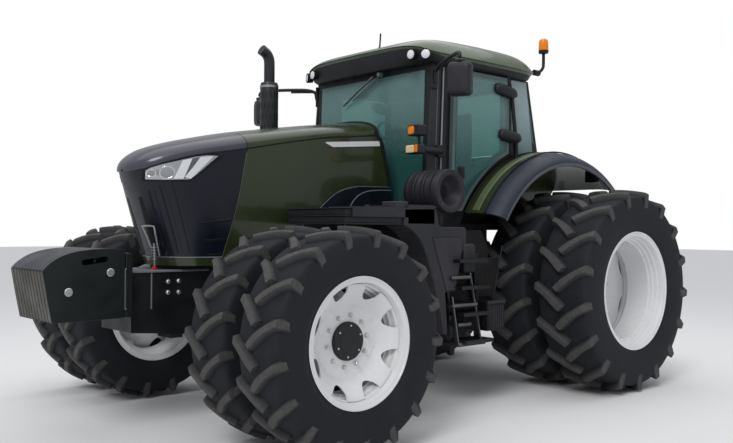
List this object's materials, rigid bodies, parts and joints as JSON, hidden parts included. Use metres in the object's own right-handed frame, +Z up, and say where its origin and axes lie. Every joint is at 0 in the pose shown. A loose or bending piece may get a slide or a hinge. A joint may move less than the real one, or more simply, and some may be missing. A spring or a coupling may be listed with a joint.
{
  "type": "farm tractor",
  "caption": "Row-crop farm tractor with cab, tilting hood, front ballast, dual wheels front and rear, and a rear three-point linkage.",
  "frame": {"origin": "on the ground, midway between the front of the ballast and the rear of the lower links", "axes": "+X to the tractor's left, +Y to the rear, +Z up"},
  "size_m": [3.852, 6.22, 3.525],
  "materials": {
    "tyre_rubber": "matte",
    "rim_white": "satin",
    "body_green": "gloss",
    "nose_dark": "gloss",
    "cast_grey": "satin",
    "ballast_iron": "satin",
    "steel": "satin",
    "link_black": "satin",
    "glass_tint": "gloss",
    "cab_black": "satin",
    "plastic_dark": "matte",
    "seat_fabric": "matte",
    "cab_inside": "matte",
    "lens_amber": "gloss",
    "lamp_glass": "gloss"
  },
  "bodies": {
    "chassis": {"air_canister": "cab_black", "axle_housings": "cast_grey", "ballast": "ballast_iron", "beacon": "lens_amber", "cab_frame": "cab_black", "cab_glass": "glass_tint", "drawbar": "link_black", "engine": "cast_grey", "engine_side_panels": "nose_dark", "exhaust_stack": "cab_black", "fenders": "body_green", "front_axle": "cast_grey", "front_frame": "cast_grey", "hood_support": "cast_grey", "marker_lamps": "lens_amber", "mirrors": "cab_black", "platform_left": "plastic_dark", "pto_shaft": "steel", "roof": "body_green", "roof_lamps": "lamp_glass", "seat_back": "seat_fabric", "seat_base": "cab_inside", "seat_cushion": "seat_fabric", "side_tanks": "plastic_dark", "steering_column": "cab_inside", "steps": "plastic_dark", "tool_bin": "plastic_dark", "transmission": "cast_grey"},
    "hood": {"hood_panels": "body_green", "nose": "nose_dark", "headlamps": "lamp_glass"},
    "door_left": {"door_left": "cab_black", "door_glass_left": "glass_tint"},
    "door_right": {"door_right": "cab_black", "door_glass_right": "glass_tint"},
    "knuckle_left": {"knuckle_left": "cast_grey"},
    "knuckle_right": {"knuckle_right": "cast_grey"},
    "tie_rod": {"tie_rod": "steel"},
    "wheels_front_left": {"front_tyres_left": "tyre_rubber", "front_rims_left": "rim_white"},
    "wheels_front_right": {"front_tyres_right": "tyre_rubber", "front_rims_right": "rim_white"},
    "wheels_rear_left": {"rear_tyres_left": "tyre_rubber", "rear_rims_left": "rim_white"},
    "wheels_rear_right": {"rear_tyres_right": "tyre_rubber", "rear_rims_right": "rim_white"},
    "lower_links": {"lower_links": "link_black"},
    "lift_arms": {"lift_arms": "link_black"},
    "lift_rods": {"lift_rods": "steel"}
  },
  "joints": [
    {"name": "hood_hinge", "type": "hinge", "parent": "chassis", "child": "hood", "pos_m": [0, 0.04, 2.42], "axis": [-1, 0, 0], "range_deg": [0, 50]},
    {"name": "door_left_hinge", "type": "hinge", "parent": "chassis", "child": "door_left", "pos_m": [0.876, 1.3, 2.7], "axis": [0, 0, 1], "range_deg": [0, 60]},
    {"name": "door_right_hinge", "type": "hinge", "parent": "chassis", "child": "door_right", "pos_m": [-0.876, 1.3, 2.7], "axis": [0, 0, -1], "range_deg": [0, 60]},
    {"name": "steer_left", "type": "hinge", "parent": "chassis", "child": "knuckle_left", "pos_m": [0.78, -1.58, 0.783], "axis": [0, 0, 1], "range_deg": [-22, 22]},
    {"name": "steer_right", "type": "hinge", "parent": "chassis", "child": "knuckle_right", "pos_m": [-0.78, -1.58, 0.783], "axis": [0, 0, 1], "range_deg": [-22, 22]},
    {"name": "tie_rod_pin", "type": "hinge", "parent": "knuckle_left", "child": "tie_rod", "pos_m": [0.78, -1.28, 0.713], "axis": [0, 0, 1], "range_deg": [-22, 22]},
    {"name": "roll_front_left", "type": "hinge", "parent": "knuckle_left", "child": "wheels_front_left", "pos_m": [1.105, -1.58, 0.783], "axis": [1, 0, 0], "continuous": true},
    {"name": "roll_front_right", "type": "hinge", "parent": "knuckle_right", "child": "wheels_front_right", "pos_m": [-1.105, -1.58, 0.783], "axis": [1, 0, 0], "continuous": true},
    {"name": "roll_rear_left", "type": "hinge", "parent": "chassis", "child": "wheels_rear_left", "pos_m": [0.9455, 1.98, 0.969], "axis": [1, 0, 0], "continuous": true},
    {"name": "roll_rear_right", "type": "hinge", "parent": "chassis", "child": "wheels_rear_right", "pos_m": [-0.9455, 1.98, 0.969], "axis": [1, 0, 0], "continuous": true},
    {"name": "lower_link_lift", "type": "hinge", "parent": "chassis", "child": "lower_links", "pos_m": [0, 2.15, 0.61], "axis": [1, 0, 0], "range_deg": [-14, 26]},
    {"name": "rockshaft", "type": "hinge", "parent": "chassis", "child": "lift_arms", "pos_m": [0, 2.15, 1.25], "axis": [1, 0, 0], "range_deg": [-14, 26]},
    {"name": "lift_rod_pin", "type": "hinge", "parent": "lower_links", "child": "lift_rods", "pos_m": [0, 2.6, 0.61], "axis": [1, 0, 0], "range_deg": [-26, 14]}
  ],
  "couplings": [
    {"joint": "steer_right", "follows": "steer_left", "ratio": 1},
    {"joint": "tie_rod_pin", "follows": "steer_left", "ratio": -1},
    {"joint": "rockshaft", "follows": "lower_link_lift", "ratio": 1},
    {"joint": "lift_rod_pin", "follows": "lower_link_lift", "ratio": -1}
  ]
}
